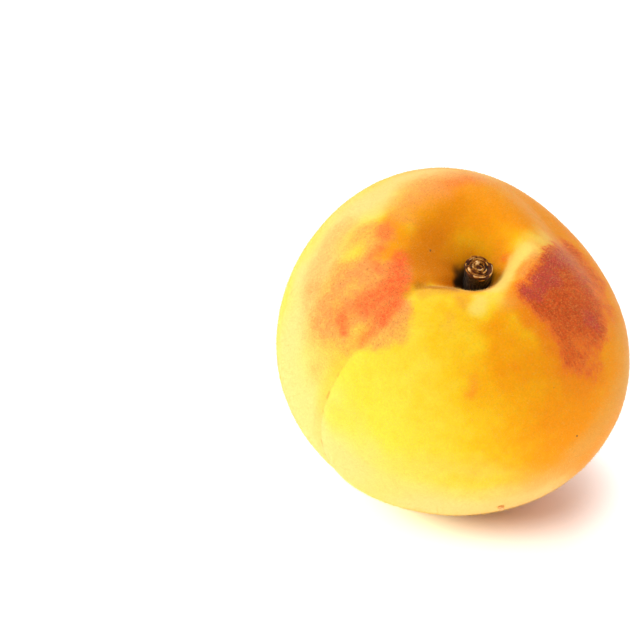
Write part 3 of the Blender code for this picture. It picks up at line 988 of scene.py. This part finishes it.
def make_fibres(draw):
    """The rosette of brown curled fibres on the stub's broken end."""
    bm = bmesh.new()
    for number in range(FIBRES):
        curl = FIBRE_CURL[0] + (FIBRE_CURL[1] - FIBRE_CURL[0]) * (number + 0.5) / FIBRES
        start = draw.uniform(0, math.tau)
        turned = Euler((draw.normal(0, FIBRE_TIP), draw.normal(0, FIBRE_TIP), start)).to_matrix()
        thickness = draw.uniform(*FIBRE_THICKNESS)
        sweep = draw.uniform(*FIBRE_SWEEP)
        rise = draw.uniform(-FIBRE_RISE, FIBRE_RISE)
        curled_fibre(bm, end_place(curl, FIBRE_LIFT), curl, thickness, sweep, rise, turned)
    bmesh.ops.transform(bm, matrix=LIE, verts=bm.verts)
    bmesh.ops.recalc_face_normals(bm, faces=bm.faces)
    finished("stem_fibres", bm, fibre_finish("stem_fibre", *FIBRE_SHADES), "stem")


def make_splinters():
    """The pale splinters among the fibres, and the knot that they curl round."""
    bm = bmesh.new()
    for curl, thickness, start, sweep in SPLINTERS:
        turned = Matrix.Rotation(math.radians(start), 3, "Z")
        place = end_place(curl * MM, SPLINTER_LIFT)
        curled_fibre(bm, place, curl * MM, thickness * MM, math.radians(sweep), 0.0, turned)
    knot = bmesh.ops.create_icosphere(bm, subdivisions=3, radius=1.0)["verts"]
    for vert in knot:
        lump = 1 + KNOT_LUMPS * noise.noise(vert.co * KNOT_WAVE)
        vert.co = end_place(0.0, FIBRE_LIFT) + KNOT_PLACE + Vector(KNOT_SIZE) * lump * vert.co
    bmesh.ops.transform(bm, matrix=LIE, verts=bm.verts)
    bmesh.ops.recalc_face_normals(bm, faces=bm.faces)
    finished("stem_splinters", bm, fibre_finish("stem_splinter", *SPLINTER_SHADES), "stem")


def make_specks():
    """Low round specks and scars that stand on the skin."""
    bm = bmesh.new()
    for place, radius, height in SPECKS:
        place = Vector(place) * MM
        away = place.normalized()
        dome = bmesh.ops.create_icosphere(bm, subdivisions=3, radius=1.0)["verts"]
        turned = away.to_track_quat("Z", "Y").to_matrix()
        for vert in dome:
            lump = 1 + SPECK_LUMPS * noise.noise(vert.co * SPECK_WAVE + place / MM)
            size = Vector((radius, radius, height)) * lump * MM
            vert.co = place + turned @ (size * vert.co)
    bmesh.ops.transform(bm, matrix=LIE, verts=bm.verts)
    bmesh.ops.recalc_face_normals(bm, faces=bm.faces)
    finished("skin_specks", bm, speck_finish(), "skin")


def make_floor():
    """Wide pale floor."""
    bm = bmesh.new()
    bmesh.ops.create_grid(bm, x_segments=1, y_segments=1, size=FLOOR_SIZE)
    floor = finished("floor", bm, floor_finish())


def make_lights():
    """A bright even room and two soft lamps, from the left and from above."""
    world = bpy.data.worlds.new("studio")
    world.use_nodes = True
    world.node_tree.nodes["Background"].inputs["Color"].default_value = colour(1.0, 1.0, 1.0)
    world.node_tree.nodes["Background"].inputs["Strength"].default_value = ROOM_LIGHT
    bpy.context.scene.world = world
    for name, place, size, power in LAMPS:
        lamp = bpy.data.lights.new(name, "AREA")
        lamp.size = size
        lamp.energy = power
        holder = bpy.data.objects.new(name, lamp)
        holder.location = place
        holder.rotation_euler = (Vector(place) - MIDDLE).to_track_quat("Z", "Y").to_euler()
        bpy.context.scene.collection.objects.link(holder)


def make_camera():
    """The camera of the photograph."""
    right = Vector((1, 0, 0))
    up = Vector((0, math.sin(CAMERA_RISE), math.cos(CAMERA_RISE)))
    back = Vector((0, -math.cos(CAMERA_RISE), math.sin(CAMERA_RISE)))
    per_pixel = CAMERA_DISTANCE * SENSOR / CAMERA_LENS / IMAGE
    data = bpy.data.cameras.new("camera")
    data.lens = CAMERA_LENS
    data.sensor_width = SENSOR
    camera = bpy.data.objects.new("camera", data)
    camera.location = MIDDLE + back * CAMERA_DISTANCE
    camera.location -= right * (FRUIT_PIXEL[0] - IMAGE / 2) * per_pixel
    camera.location += up * (FRUIT_PIXEL[1] - IMAGE / 2) * per_pixel
    camera.rotation_euler = Euler((math.pi / 2 - CAMERA_RISE, 0, 0))
    bpy.context.scene.collection.objects.link(camera)
    bpy.context.scene.camera = camera


make_camera()
peach_skin = make_skin()
fuzz_draw = np.random.default_rng(FUZZ_SEED)
hair_finish = fuzz_finish()
for piece_number in range(FUZZ_PIECES):
    make_fuzz(peach_skin, piece_number + 1, hair_finish, fuzz_draw)
make_specks()
make_stem()
make_fibres(np.random.default_rng(FIBRE_SEED))
make_splinters()
make_floor()
make_lights()
bpy.context.scene.view_settings.view_transform = "Standard"
